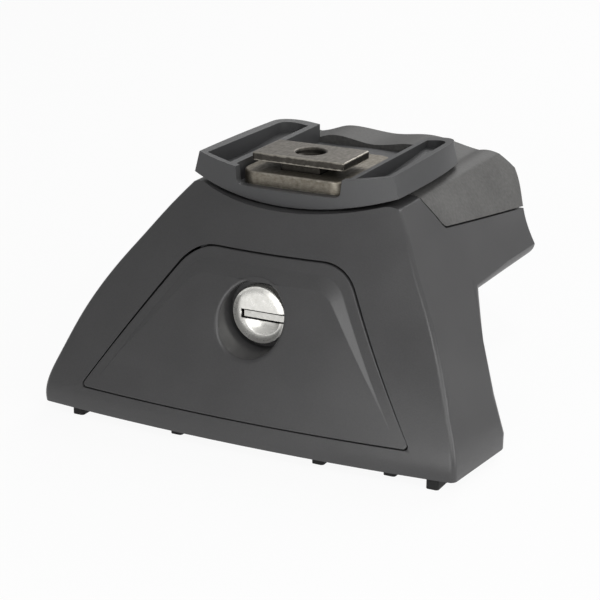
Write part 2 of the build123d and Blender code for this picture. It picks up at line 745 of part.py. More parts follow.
with BuildPart() as bar_pad:
    span = 1.3 * pad_half
    with BuildSketch(Plane.XZ):
        with BuildLine():
            low = hollow_z(span, pad_z, pad_radius)
            high = hollow_z(span, rim_z, rim_radius)
            ThreePointArc((-span, low), (0, pad_z), (span, low))
            Line((span, low), (span, high))
            ThreePointArc((span, high), (0, rim_z), (-span, high))
            Line((-span, high), (-span, low))
        make_face()
    extrude(amount=far, both=True)
    add(pad_block.part, mode=Mode.INTERSECT)
    with BuildSketch(Plane.XY.offset(floor_z)):
        with BuildLine():
            side_y = pad_edge_y(channel_half) + sill_thick
            ThreePointArc((-channel_half, side_y), (0, pad_front_y + sill_thick), (channel_half, side_y))
            Polyline(
                (channel_half, side_y),
                (channel_half, far),
                (-channel_half, far),
                (-channel_half, side_y),
            )
        make_face()
    extrude(amount=far, mode=Mode.SUBTRACT)
    with BuildSketch(Plane.XZ.offset(-pad_corner_y)) as sill:
        with BuildLine():
            Polyline(
                (-sill_half, pad_z + sill_height),
                (sill_half, pad_z + sill_height),
                (sill_half + sill_flare, rim_z + pad_height),
                (-sill_half - sill_flare, rim_z + pad_height),
                close=True,
            )
        make_face()
        fillet(sill.vertices().sort_by(Axis.Y)[:2], radius=sill_round)
    extrude(amount=far, mode=Mode.SUBTRACT)
    add(tray_space.part, mode=Mode.SUBTRACT)
    add(mirror(tray_space.part, about=Plane.YZ, mode=Mode.PRIVATE), mode=Mode.SUBTRACT)
    with BuildSketch(Plane.XY.offset(pad_z - pad_lift)):
        with Locations((0, (seat_front_y + seat_rear_y) / 2)):
            Rectangle(2 * window_half, seat_rear_y - seat_front_y + 2 * chassis_gap)
    extrude(amount=seat_z - pad_z + pad_lift, mode=Mode.SUBTRACT)
    with BuildSketch(Plane.XY.offset(pad_z)):
        with Locations((0, nut_y)):
            Rectangle(neck_width + 2 * slip, neck_depth + 2 * slip)
    extrude(amount=pad_height, mode=Mode.SUBTRACT)
    with BuildSketch(Plane.XY.offset(pad_z)):
        with Locations(*pad_screw_spots):
            Circle(screw_r + touch)
    extrude(amount=pad_hole_z(0) - pad_z, mode=Mode.SUBTRACT)
bar_pad.part.label = "bar_pad"
export_step(bar_pad.part, "parts/bar_pad.step")

# Clamp plate, nut, bolt and washer that hold the bar
plate_front_y = pad_edge_y(plate_half - plate_round) + sill_thick + slip
with BuildPart() as clamp_plate:
    with BuildSketch(Plane.XY.offset(floor_z)):
        with Locations((0, plate_front_y + plate_depth / 2)):
            RectangleRounded(2 * plate_half, plate_depth, plate_round)
        with Locations((0, nut_y)):
            Rectangle(neck_width + 2 * slip, neck_depth + 2 * slip, mode=Mode.SUBTRACT)
    extrude(amount=plate_thick)
    fillet(clamp_plate.faces().sort_by(Axis.Z)[-1].outer_wire().edges(), radius=plate_edge)
clamp_plate.part.label = "clamp_plate"
export_step(clamp_plate.part, "parts/clamp_plate.step")

with BuildPart() as t_nut:
    with BuildSketch(Plane.XY.offset(nut_low_z)):
        with Locations((0, nut_y)):
            RectangleRounded(nut_length, nut_depth, nut_corner)
    extrude(amount=nut_thick)
    fillet(t_nut.faces().sort_by(Axis.Z)[-1].edges(), radius=nut_edge)
    with BuildSketch(Plane.XY.offset(neck_low_z)):
        with Locations((0, nut_y)):
            Rectangle(neck_width, neck_depth)
    extrude(amount=nut_low_z - neck_low_z)
    with BuildSketch(Plane.XY.offset(neck_low_z)):
        with Locations((0, nut_y)):
            Circle(bar_bolt_r + running)
    extrude(amount=nut_top_z - neck_low_z, mode=Mode.SUBTRACT)
    chamfer(t_nut.faces().sort_by(Axis.Z)[-1].edges().filter_by(GeomType.CIRCLE), length=thread_lead)
t_nut.part.label = "t_nut"
export_step(t_nut.part, "parts/t_nut.step")

with BuildPart() as bar_bolt:
    with BuildSketch(Plane((0, nut_y, bolt_seat_z))):
        Circle(bolt_head_r)
    extrude(amount=-bolt_head_height)
    fillet(bar_bolt.faces().sort_by(Axis.Z)[0].edges(), radius=head_round)
    with BuildSketch(Plane((0, nut_y, bolt_seat_z - bolt_head_height))):
        RegularPolygon(hex_share * bolt_head_r, 6, major_radius=False)
    extrude(amount=hex_depth_share * bolt_head_height, mode=Mode.SUBTRACT)
    with BuildSketch(Plane((0, nut_y, bolt_seat_z))):
        Circle(bar_bolt_r)
    extrude(amount=neck_low_z + bar_bolt_engage - bolt_seat_z)
    chamfer(bar_bolt.faces().sort_by(Axis.Z)[-1].edges(), length=bolt_tip)
bar_bolt.part.label = "bar_bolt"
export_step(bar_bolt.part, "parts/bar_bolt.step")

with BuildPart() as bar_bolt_washer:
    with BuildSketch(Plane((0, nut_y, bolt_seat_z))):
        Circle(washer_r)
        Circle(bar_bolt_r + slip, mode=Mode.SUBTRACT)
    extrude(amount=washer_thick)
bar_bolt_washer.part.label = "bar_bolt_washer"
export_step(bar_bolt_washer.part, "parts/bar_bolt_washer.step")

# Chassis: one casting with a base plate, two cheeks, a deck with the pad's seat, and the fixed claw
window_rear_y = jaw_front_y + jaw_wall + jaw_travel + slip
keeper_y = lock_face_y - cam_front - slip
post_size = 2 * (peg_r + post_wall)
post_rear_y = peg_end_y + slip
with BuildPart() as chassis:
    add(chassis_blank)
    with BuildSketch(Plane.XZ):
        with Locations((0, (base_plate_z + base_top_z) / 2)):
            Rectangle(2.6 * base_half, base_plate_thick)
        with Locations((0, (deck_low_z + deck_z) / 2)):
            Rectangle(2 * (front_screw[0] + screw_boss_r), deck_thick)
        for side in (1, -1):
            with Locations((side * (cheek_inner + cheek_thick / 2), (base_plate_z + deck_z) / 2)):
                Rectangle(cheek_thick, deck_z - base_plate_z)
    extrude(amount=far, both=True, mode=Mode.INTERSECT)
    with BuildSketch(Plane.XY.offset(deck_low_z)):
        with Locations((0, (seat_front_y + seat_rear_y) / 2)):
            Rectangle(2 * seat_half, seat_rear_y - seat_front_y)
    extrude(amount=seat_z - deck_low_z)
    with BuildSketch(Plane.XZ.offset(-keeper_y)):
        with Locations((0, lock_z + sleeve_r + 2 * slip)):
            Rectangle(2 * cheek_inner + cheek_thick, keeper_height, align=(Align.CENTER, Align.MIN))
    extrude(amount=keeper_thick)
    with BuildSketch(Plane.XZ.offset(-bridge_front_y)):
        with Locations((0, jaw_bolt_z)):
            Rectangle(2 * cheek_inner + cheek_thick, bridge_height)
    extrude(amount=-bridge_thick)
    with BuildSketch(Plane.XY.offset(base_plate_z - pad_lift)):
        with Locations((0, claw_rear_y)):
            Rectangle(2 * cheek_inner, window_rear_y - claw_rear_y, align=(Align.CENTER, Align.MIN))
    extrude(amount=base_plate_thick + 2 * pad_lift, mode=Mode.SUBTRACT)
    with BuildSketch(Plane.YZ):
        with Locations((claw_rear_y - claw_wall / 2, (claw_bottom_z + base_top_z) / 2)):
            Rectangle(claw_wall, base_top_z - claw_bottom_z)
        with Locations((claw_rear_y, claw_bottom_z)):
            Rectangle(claw_lip, claw_lip_thick, align=(Align.MIN, Align.MIN))
    extrude(amount=claw_half, both=True)
    for side in (1, -1):
        with BuildSketch(Plane.XZ.offset(-post_rear_y)):
            with Locations((side * peg_x, base_top_z)):
                Rectangle(post_size, peg_z - base_top_z + post_size / 2, align=(Align.CENTER, Align.MIN))
        extrude(amount=post_depth)
        with BuildSketch(Plane.XZ.offset(-post_rear_y)):
            with Locations((side * peg_x, peg_z)):
                Circle(peg_r + touch)
        extrude(amount=post_depth, mode=Mode.SUBTRACT)
    arm_floor_z = arm_under_z + wall
    with BuildSketch(Plane.YZ):
        with Locations(((throat_y + arm_low_y) / 2, (arm_floor_z + deck_low_z) / 2)):
            RectangleRounded(
                lightening_length * (arm_low_y - throat_y),
                lightening_height * (deck_low_z - arm_floor_z),
                lightening_round,
            )
    extrude(amount=far, both=True, mode=Mode.SUBTRACT)
    with BuildSketch(Plane((0, nut_y, deck_low_z))):
        Circle(bar_bolt_r + slip)
    extrude(amount=seat_z, mode=Mode.SUBTRACT)
    with BuildSketch(Plane.XY.offset(neck_low_z - nut_travel - slip)):
        with Locations((0, nut_y)):
            Rectangle(neck_width + 2 * slip, neck_depth + 2 * slip)
    extrude(amount=far, mode=Mode.SUBTRACT)
    with BuildSketch(Plane.XZ.offset(-bridge_front_y)):
        with Locations((0, jaw_bolt_z)):
            Circle(jaw_bolt_r + running)
    extrude(amount=-bridge_thick, mode=Mode.SUBTRACT)
    with BuildSketch(Plane.XY.offset(deck_low_z)):
        with Locations(*screw_spots, *pad_screw_spots):
            Circle(screw_r + touch)
    extrude(amount=far, mode=Mode.SUBTRACT)
chassis.part.label = "chassis"
export_step(chassis.part, "parts/chassis.step")

# Base pad: a rubber sheet under the chassis with ribs that reach under the housing's edge
# Ribs: place along the foot, for its half length at the skirt, and setback from the front
rib_rows = [(-0.837, 2.0), (-0.615, 5.7), (-0.3285, 4.2), (0.369, 3.6), (0.688, 4.3), (0.902, 0.4)]
sheet_rear_y = base_rear_y - wall
with BuildPart() as base_pad:
    add(sheet_blank)
    with BuildSketch(Plane.XZ):
        with Locations((0, rib_height)):
            Rectangle(2.6 * base_half, pad_sheet_thick, align=(Align.CENTER, Align.MIN))
    extrude(amount=far, both=True, mode=Mode.INTERSECT)
    for place, setback in rib_rows:
        x = place * base_half
        rib_front_y = front_y(x, skirt_z) + setback
        with BuildSketch(Plane.XY):
            with Locations((x, (rib_front_y + sheet_rear_y) / 2)):
                RectangleRounded(rib_width, sheet_rear_y - rib_front_y, rib_round)
        extrude(amount=rib_height)
    with BuildSketch(Plane.XY):
        with Locations((0, claw_rear_y - claw_wall - slip)):
            Rectangle(
                2 * (cheek_inner + claw_room),
                window_rear_y - claw_rear_y + claw_wall + slip,
                align=(Align.CENTER, Align.MIN),
            )
    extrude(amount=base_plate_z, mode=Mode.SUBTRACT)
base_pad.part.label = "base_pad"
export_step(base_pad.part, "parts/base_pad.step")

# Base clamp: moving jaw, its bolt, washer and retaining clip
jaw_rear_y = jaw_front_y + jaw_wall
with BuildPart() as clamp_jaw:
    with BuildSketch(Plane.YZ):
        with Locations((jaw_front_y, claw_bottom_z)):
            Rectangle(jaw_wall, jaw_top_z - claw_bottom_z, align=(Align.MIN, Align.MIN))
        with Locations((jaw_front_y, claw_bottom_z)):
            Rectangle(claw_lip, claw_lip_thick, align=(Align.MAX, Align.MIN))
    extrude(amount=claw_half, both=True)
    with BuildSketch(Plane.XZ.offset(-jaw_rear_y)):
        with Locations((0, jaw_bolt_z)):
            RectangleRounded(3 * jaw_head_r, 2 * jaw_head_room, jaw_boss_round)
    extrude(amount=jaw_wall + jaw_boss)
    with BuildSketch(Plane.XZ.offset(-jaw_rear_y)):
        with Locations((0, jaw_bolt_z)):
            Circle(jaw_bolt_r + running)
    extrude(amount=far, mode=Mode.SUBTRACT)
clamp_jaw.part.label = "clamp_jaw"
export_step(clamp_jaw.part, "parts/clamp_jaw.step")

jaw_seat_y = bridge_front_y - jaw_washer_thick
jaw_bolt_plane = Plane(origin=(0, jaw_seat_y, jaw_bolt_z), x_dir=(1, 0, 0), z_dir=(0, -1, 0))
clip_y = bridge_front_y + bridge_thick + touch / 2
groove_r = jaw_bolt_r - clip_groove
clip_plane = Plane(origin=(0, clip_y, jaw_bolt_z), x_dir=(1, 0, 0), z_dir=(0, 1, 0))
with BuildPart() as jaw_bolt:
    with BuildSketch(jaw_bolt_plane):
        Circle(jaw_head_r)
    extrude(amount=jaw_head_height)
    fillet(jaw_bolt.faces().sort_by(Axis.Y)[0].edges(), radius=head_round)
    with BuildSketch(jaw_bolt_plane.offset(jaw_head_height)):
        RegularPolygon(hex_share * jaw_head_r, 6, major_radius=False)
    extrude(amount=-hex_depth_share * jaw_head_height, mode=Mode.SUBTRACT)
    with BuildSketch(jaw_bolt_plane):
        Circle(jaw_bolt_r)
    extrude(amount=jaw_seat_y - window_rear_y - jaw_bolt_end)
    with BuildSketch(clip_plane):
        Circle(jaw_head_r)
        Circle(groove_r, mode=Mode.SUBTRACT)
    extrude(amount=clip_thick + touch, mode=Mode.SUBTRACT)
jaw_bolt.part.label = "jaw_bolt"
export_step(jaw_bolt.part, "parts/jaw_bolt.step")

with BuildPart() as jaw_bolt_washer:
    with BuildSketch(jaw_bolt_plane):
        Circle(jaw_washer_r)
        Circle(jaw_bolt_r + slip, mode=Mode.SUBTRACT)
    extrude(amount=-jaw_washer_thick)
jaw_bolt_washer.part.label = "jaw_bolt_washer"
export_step(jaw_bolt_washer.part, "parts/jaw_bolt_washer.step")

with BuildPart() as jaw_bolt_clip:
    with BuildSketch(clip_plane.offset(touch / 2)):
        Circle(clip_r)
        Circle(groove_r, mode=Mode.SUBTRACT)
        with Locations((0, -clip_r)):
            Rectangle(1.5 * groove_r, clip_r, mode=Mode.SUBTRACT)
    extrude(amount=clip_thick)
jaw_bolt_clip.part.label = "jaw_bolt_clip"
export_step(jaw_bolt_clip.part, "parts/jaw_bolt_clip.step")


def deck_screws(spots, hole_z):
    """Pan-head screws driven up through the deck, one at each spot, short of the end of its hole."""
    with BuildPart() as screws:
        for x, y in spots:
            with BuildSketch(Plane((x, y, deck_low_z))):
                Circle(screw_head_r)
            extrude(amount=-screw_head_height)
            with BuildSketch(Plane((x, y, deck_low_z - screw_head_height))):
                Rectangle(cross_length, cross_width)
                Rectangle(cross_width, cross_length)
            extrude(amount=cross_depth, mode=Mode.SUBTRACT)
            with BuildSketch(Plane((x, y, deck_low_z))):
                Circle(screw_r)
            extrude(amount=hole_z(x) - tip_room - deck_low_z)
    return screws.part


housing_screws = deck_screws(screw_spots, boss_hole_z)
housing_screws.label = "housing_screws"
export_step(housing_screws, "parts/housing_screws.step")

pad_screws = deck_screws(pad_screw_spots, pad_hole_z)
pad_screws.label = "pad_screws"
export_step(pad_screws, "parts/pad_screws.step")
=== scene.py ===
from math import pi, radians

import bmesh
import bpy
import numpy as np
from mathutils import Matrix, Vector


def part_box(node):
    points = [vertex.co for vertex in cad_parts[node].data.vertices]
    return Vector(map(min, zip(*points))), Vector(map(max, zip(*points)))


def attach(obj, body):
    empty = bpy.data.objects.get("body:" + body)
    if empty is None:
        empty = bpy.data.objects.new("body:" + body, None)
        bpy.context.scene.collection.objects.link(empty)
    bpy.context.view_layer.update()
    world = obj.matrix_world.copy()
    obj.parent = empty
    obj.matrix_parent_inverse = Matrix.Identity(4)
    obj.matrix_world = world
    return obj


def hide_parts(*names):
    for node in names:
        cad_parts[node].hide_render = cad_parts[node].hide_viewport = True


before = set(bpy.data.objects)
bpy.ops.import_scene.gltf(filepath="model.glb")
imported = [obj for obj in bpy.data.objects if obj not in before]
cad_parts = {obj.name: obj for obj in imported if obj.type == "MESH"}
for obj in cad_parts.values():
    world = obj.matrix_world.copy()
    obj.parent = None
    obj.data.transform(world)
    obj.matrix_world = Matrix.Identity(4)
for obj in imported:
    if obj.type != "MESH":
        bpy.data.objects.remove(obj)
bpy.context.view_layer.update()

# Housing. One moulding in glass-filled nylon with a fine spark-eroded grain. It drops over the chassis
# from above and four screws from the chassis's deck hold it.
mm = 0.001
housing_edge = 0.45 * mm
rolled_angle = radians(32)
flat_angle = radians(0.3)
corner_reach = 2e-6
housing_dark = (0.046, 0.0455, 0.0465, 1.0)
housing_light = (0.060, 0.0595, 0.0605, 1.0)


def in_scene(name, data):
    """Object of a mesh, lamp or camera, linked to the scene."""
    piece = bpy.data.objects.new(name, data)
    bpy.context.scene.collection.objects.link(piece)
    return piece


def shade_smooth(mesh):
    """Shade every face of a mesh smooth."""
    mesh.polygons.foreach_set("use_smooth", np.ones(len(mesh.polygons), bool))


def merged_copy(cad_name, name):
    """Copy of a CAD node with its loose triangles joined at their corners and its flat facets made whole."""
    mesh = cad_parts[cad_name].data.copy()
    mesh.name = name
    mesh.materials.clear()
    shape = bmesh.new()
    shape.from_mesh(mesh)
    bmesh.ops.remove_doubles(shape, verts=shape.verts, dist=corner_reach)
    bmesh.ops.dissolve_limit(shape, angle_limit=flat_angle, verts=shape.verts, edges=shape.edges)
    shape.to_mesh(mesh)
    shape.free()
    return in_scene(name, mesh)


def round_edges(piece, width):
    """Roll every sharp edge over to the width, and shade the rest smooth, led by the large faces."""
    shade_smooth(piece.data)
    bevel = piece.modifiers.new("rolled_edges", "BEVEL")
    bevel.width = width
    bevel.segments = 2
    bevel.limit_method = "ANGLE"
    bevel.angle_limit = rolled_angle
    bevel.harden_normals = True
    bevel.miter_outer = "MITER_ARC"
    even = piece.modifiers.new("even_shading", "WEIGHTED_NORMAL")
    even.mode = "FACE_AREA_WITH_ANGLE"
    even.keep_sharp = True


def node(tree, kind, sockets=None, **settings):
    """Add a shader node, set its properties, and fill or link its sockets."""
    made = tree.nodes.new(kind)
    for name, value in settings.items():
        setattr(made, name, value)
    for name, value in (sockets or {}).items():
        if isinstance(value, bpy.types.NodeSocket):
            tree.links.new(value, made.inputs[name])
        else:
            made.inputs[name].default_value = value
    return made


def noise(tree, place, scale, detail):
    """Value of a noise at a place."""
    return node(tree, "ShaderNodeTexNoise", {"Vector": place, "Scale": scale, "Detail": detail}).outputs["Fac"]


def spread(tree, value, low, high):
    """Value stretched from between low and high to between 0 and 1."""
    ends = {"Value": value, "From Min": low, "From Max": high}
    return node(tree, "ShaderNodeMapRange", ends).outputs["Result"]


def blend(tree, share, first, second, kind="RGBA"):
    """Mix of two colours, or of two floats, by a share."""
    parts = {"Factor": share, "A": first, "B": second}
    return node(tree, "ShaderNodeMix", parts, data_type=kind).outputs["Result"]


def new_group(name, inputs, outputs):
    """Shader node group with a place, float or vector inputs and float outputs."""
    group = bpy.data.node_groups.new(name, "ShaderNodeTree")
    for socket, kind in [("Place", "Vector")] + inputs:
        group.interface.new_socket(socket, in_out="INPUT", socket_type="NodeSocket" + kind)
    for socket in outputs:
        group.interface.new_socket(socket, in_out="OUTPUT", socket_type="NodeSocketFloat")
    return group, group.nodes.new("NodeGroupInput").outputs, group.nodes.new("NodeGroupOutput").inputs


def new_finish(name, **shader_values):
    """Material with one Principled shader; returns the material, its node tree, shader and coordinates."""
    finish = bpy.data.materials.new(name)
    finish.use_nodes = True
    tree = finish.node_tree
    shader = tree.nodes["Principled BSDF"]
    for socket, value in shader_values.items():
        shader.inputs[socket.replace("_", " ")].default_value = value
    place = node(tree, "ShaderNodeTexCoord").outputs["Object"]
    return finish, tree, shader, place


def feed_shader(tree, shader, colour, detail, rough, strength, depth):
    """Link a colour, a roughness between two ends by the detail's tone, and a bump from its height."""
    ends = {"Value": detail["Tone"], "To Min": rough[0], "To Max": rough[1]}
    matt = node(tree, "ShaderNodeMapRange", ends)
    relief = node(tree, "ShaderNodeBump", {"Height": detail["Height"], "Strength": strength, "Distance": depth})
    tree.links.new(colour, shader.inputs["Base Color"])
    tree.links.new(matt.outputs["Result"], shader.inputs["Roughness"])
    tree.links.new(relief.outputs["Normal"], shader.inputs["Normal"])


# Moulded grain: a fine noise for the eroded pits and a broad one for the flow of the melt
moulded_grain, given, put = new_group(
    "moulded_grain", [("Pits", "Float"), ("Flow", "Float")], ["Tone", "Height"]
)
grain_pits = noise(moulded_grain, given["Place"], given["Pits"], 3.0)
grain_flow = noise(moulded_grain, given["Place"], given["Flow"], 2.0)
grain_tone = blend(moulded_grain, 0.45, grain_pits, grain_flow, "FLOAT")
moulded_grain.links.new(spread(moulded_grain, grain_tone, 0.3, 0.7), put["Tone"])
moulded_grain.links.new(grain_pits, put["Height"])


def moulded_finish(name, dark, light, rough, pits, flow, depth, **shader_values):
    """Grained plastic or rubber: colour and roughness from the grain's tone, bump from its height."""
    finish, tree, shader, place = new_finish(name, **shader_values)
    sockets = {"Place": place, "Pits": pits, "Flow": flow}
    grain = node(tree, "ShaderNodeGroup", sockets, node_tree=moulded_grain).outputs
    feed_shader(tree, shader, blend(tree, grain["Tone"], dark, light), grain, rough, 0.5, depth)
    return finish


housing_plastic = moulded_finish(
    "housing_plastic", housing_dark, housing_light, rough=(0.32, 0.44), pits=2600.0, flow=60.0, depth=0.05 * mm
)
housing_shell = merged_copy("housing", "housing_shell")
round_edges(housing_shell, housing_edge)
housing_shell.data.materials.append(housing_plastic)
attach(housing_shell, "foot")
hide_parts("housing")

# Front cover. A curved panel in the same grained nylon that closes the front opening, with a raised field,
# the lock's mouth, and behind it the lock's boss and two locating pegs, all one moulding.
front_low_z = 7.0
front_height = 52.8
front_half = 62.1
front_taper = 28.6
taper_curve = 0.48
corner_y = -15.6
corner_lean = 29.8
lean_curve = 0.455
bulge_low = 3.4
bulge_growth = 2.8
cover_low = (49.75, 9.5)
cover_high = (22.5, 49.6)
cover_rounds = (1.0, 13.0)
least_round = 0.05
arc_points = 20
run_points = 120
cover_sag = 0.15
sag_reach = 0.6
cover_thick = 2.76
cover_lip = 0.25
field_border = 2.7
field_band = 3.0
field_slope = 0.6
field_end_z = 17.0
crease_rise = 0.06
crease_start_z = cover_low[1] + 1.5 * field_border
mouth_r = 9.6
mouth_lip = 1.0
lock_z = 34.4
boss_r = 11.2
bore_r = 7.32
sleeve_y = -1.37
boss_back_y = 6.23
peg_x = 38.0
peg_z = 16.35
peg_r = 2.5
peg_end_y = -2.18
peg_chamfer = 0.6
peg_turn = np.linspace(0, 2 * pi, 48, endpoint=False)
cover_sharp_angle = 30
# Where the cover's rings lie: round a rolled lip, out over the field, down its band, over the border, and back
lip_turn = np.linspace(0, pi / 2, 6)
field_shares = np.concatenate([np.linspace(0, 0.97, 40)[1:], [0.985, 1.0]])
band_shares = np.linspace(1, 0, 9)[1:]
border_shares = np.concatenate([[0.92], np.linspace(0.8, 0.0, 6)[:-1]])
back_shares = np.linspace(0, 1, 16)


def front_y(x, z):
    """Depth of the front face: a parabola across the foot whose middle and ends lean back with height."""
    t = np.maximum(z - front_low_z, 0.0) / front_height
    half = front_half - front_taper * ((1 - taper_curve) * t + taper_curve * t * t)
    corner = corner_y + corner_lean * ((1 - lean_curve) * t + lean_curve * t * t)
    bulge = bulge_low + bulge_growth * t
    return corner - bulge * (1.0 - (x / half) ** 2)


def cover_edge(inset):
    """Outline of the cover in the front view, a trapezoid with rounded corners, moved in by an amount.

    Each corner is an arc that touches both sides; along the lower side z follows a shallow parabola.
    """
    (low_x, low_z), (high_x, high_z) = cover_low, cover_high
    corners = np.array([(low_x, low_z), (high_x, high_z), (-high_x, high_z), (-low_x, low_z)])
    sharp, round_over = np.maximum(np.array(cover_rounds) - inset, least_round)
    radii = np.array([sharp, round_over, round_over, sharp])
    ahead = np.roll(corners, -1, 0) - corners
    ahead = ahead / np.linalg.norm(ahead, axis=1)[:, None]
    behind = -np.roll(ahead, 1, 0)
    half_angle = np.arccos((ahead * behind).sum(1)) / 2
    bisector = ahead + behind
    bisector = bisector / np.linalg.norm(bisector, axis=1)[:, None]
    centres = corners + bisector * ((inset + radii) / np.sin(half_angle))[:, None]
    start = np.arctan2(-bisector[:, 1], -bisector[:, 0])
    sweep = np.linspace(-1, 1, arc_points)[None, :] * (pi / 2 - half_angle)[:, None]
    turn = start[:, None] + sweep
    arcs = centres[:, None, :] + radii[:, None, None] * np.stack([np.cos(turn), np.sin(turn)], -1)
    share = np.linspace(0, 1, run_points)[1:-1, None]
    runs = arcs[:, -1][:, None, :] * (1 - share) + np.roll(arcs, -1, 0)[:, 0][:, None, :] * share
    line = np.concatenate([arcs, runs], 1).reshape(-1, 2)
    low = line[:, 1] < low_z + inset + sag_reach
    line[low, 1] -= cover_sag * (1 - (line[low, 0] / low_x) ** 2)
    return line


def field_rise(z):
    """Height of the cover's field over its border: a fine crease low down that grows evenly up to the top."""
    climb = np.clip((z - field_end_z) / (cover_high[1] - field_border - field_end_z), 0, 1)
    crease = crease_rise * np.clip((z - crease_start_z) / field_border, 0, 1)
    return crease + field_slope * field_band * climb


def surface_piece(name, grids, angle, reach=1e-6):
    """Piece from grids of points in millimetres.

    A tube closes along its columns, a loop along its rows as well, and a sheet along neither. Corners closer
    than the reach are merged, so a row can shrink to a point, and edges over the angle stay sharp.
    """
    corners, quads, start = [], [], 0
    for kind, grid in grids:
        rows, columns = grid.shape[:2]
        ids = start + np.arange(rows * columns).reshape(rows, columns)
        if kind == "loop":
            ids = np.concatenate([ids, ids[:1]])
        if kind != "sheet":
            ids = np.concatenate([ids, ids[:, :1]], 1)
        quads.append(np.stack([ids[:-1, :-1], ids[:-1, 1:], ids[1:, 1:], ids[1:, :-1]], -1).reshape(-1, 4))
        corners.append(grid.reshape(-1, 3))
        start += rows * columns
    mesh = bpy.data.meshes.new(name)
    mesh.from_pydata((np.concatenate(corners) * mm).tolist(), [], np.concatenate(quads).tolist())
    shape = bmesh.new()
    shape.from_mesh(mesh)
    bmesh.ops.remove_doubles(shape, verts=shape.verts, dist=reach)
    bmesh.ops.dissolve_degenerate(shape, edges=shape.edges, dist=1e-7)
    bmesh.ops.recalc_face_normals(shape, faces=shape.faces)
    shape.to_mesh(mesh)
    shape.free()
    shade_smooth(mesh)
    mesh.set_sharp_from_angle(angle=radians(angle))
    return in_scene(name, mesh)


def lathe_y(profile, x, z, turn):
    """Grid of a profile of (radius, depth) turned through the angles about an axis along Y through x and z."""
    radius, depth = np.array(profile, float).T[:, :, None]
    return np.stack([x + radius * np.cos(turn), depth + 0 * turn, z + radius * np.sin(turn)], -1)


def cover_rings():
    """Rings of the cover from the lock's bore out over the front and back to the boss, as one closed grid.

    Each ring is a line in the front view, a circle, an outline or a mix of two by a share, with its depth.
    """
    rim = cover_edge(0.0)
    turn = np.arctan2(rim[:, 1] - lock_z, rim[:, 0])
    around = np.stack([np.cos(turn), np.sin(turn)], -1)
    rings = []

    def circle(radius):
        return np.array([0.0, lock_z]) + radius * around

    def face(line):
        return front_y(line[:, 0], line[:, 1])

    def field(line):
        return face(line) - field_rise(line[:, 1])

    def add(line, y):
        rings.append(np.stack([line[:, 0], y + 0 * line[:, 0], line[:, 1]], -1))

    add(circle(bore_r), boss_back_y)
    add(circle(bore_r), sleeve_y)
    add(circle(mouth_r), sleeve_y)
    for a in lip_turn:
        line = circle(mouth_r + mouth_lip * (1 - np.cos(a)))
        add(line, field(line) + mouth_lip * (1 - np.sin(a)))
    mouth = circle(mouth_r + mouth_lip)
    foot = cover_edge(field_border)
    inward = cover_edge(field_border + 1) - foot
    crest = foot + inward * (field_rise(foot[:, 1]) / field_slope)[:, None]
    for share in field_shares:
        line = mouth * (1 - share) + crest * share
        add(line, field(line))
    for share in band_shares:
        line = foot * (1 - share) + crest * share
        add(line, face(line) - share * field_rise(crest[:, 1]))
    for inset in border_shares * (field_border - cover_lip) + cover_lip:
        line = cover_edge(inset)
        add(line, face(line))
    for a in lip_turn:
        line = cover_edge(cover_lip * (1 - np.sin(a)))
        add(line, face(line) + cover_lip * (1 - np.cos(a)))
    boss = circle(boss_r)
    for share in back_shares:
        line = rim * (1 - share) + boss * share
        add(line, face(line) + cover_thick)
    add(boss, boss_back_y)
    return np.array(rings)


peg_root_y = float(front_y(peg_x, peg_z)) + 0.5 * cover_thick
peg_profile = [
    (0.0, peg_root_y),
    (peg_r, peg_root_y),
    (peg_r, peg_end_y - peg_chamfer),
    (peg_r - peg_chamfer, peg_end_y),
    (0.0, peg_end_y),
]
cover_panel = surface_piece(
    "cover_panel",
    [
        ("loop", cover_rings()),
        ("tube", lathe_y(peg_profile, peg_x, peg_z, peg_turn)),
        ("tube", lathe_y(peg_profile, -peg_x, peg_z, peg_turn)),
    ],
    cover_sharp_angle,
)
cover_panel.data.materials.append(housing_plastic)
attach(cover_panel, "cover")
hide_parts("front_cover")

# Lock. A die-cast core with bright nickel plating: a key slot with a sprung shutter in it, a thumb scoop below,
# and the barrel, which turns in a brass sleeve pressed into the cover's boss. A flat cam is screwed to its end.
head_r = 8.0
head_y = -4.67
head_thick = 3.0
head_shoulder = (0.15, 0.5)
head_side = 0.8
shoulder_drops = (0.1, 0.2)
face_r = 7.3
face_points = 90
barrel_r = 5.6
barrel_length = 12.3
barrel_end_y = head_y + head_thick + barrel_length
tang_half = 3.08
tang_root_y = barrel_end_y - 0.2
tang_end_y = barrel_end_y + 2.2
slot_half = 1.25
slot_start = -5.0
slot_wall = 0.1
shutter_depth = 0.35
shutter_gap_left, shutter_gap_low, shutter_gap_high = 0.6, 0.35, 0.15
gap_depth = 2.2
# Share of the key slot's painted shade that the shutter is spared
shutter_spared = 0.94
scoop_middle = (1.4, -1.2)
scoop_reach = (5.2, 4.0)
scoop_depth = 1.5
dome_start = 5.4
dome_drop = 0.4
lock_sharp_angle = 28
nickel_dark = (0.74, 0.73, 0.69, 1)
nickel_light = (0.93, 0.92, 0.88, 1)
# Near-black painted into the key slot as shade
painted_shade_black = (0.008, 0.007, 0.006, 1)


def key_slot(u, v):
    """Shares of the slot and of the shutter in it, which leaves a gap at its left end and both long edges."""

    def ramp(distance):
        return np.clip(distance / slot_wall + 0.5, 0, 1)

    slot = ramp(slot_half - np.abs(v)) * ramp(u - slot_start)
    shutter = ramp(v + slot_half - shutter_gap_low) * ramp(slot_half - shutter_gap_high - v)
    return slot, shutter * ramp(u - slot_start - shutter_gap_left)


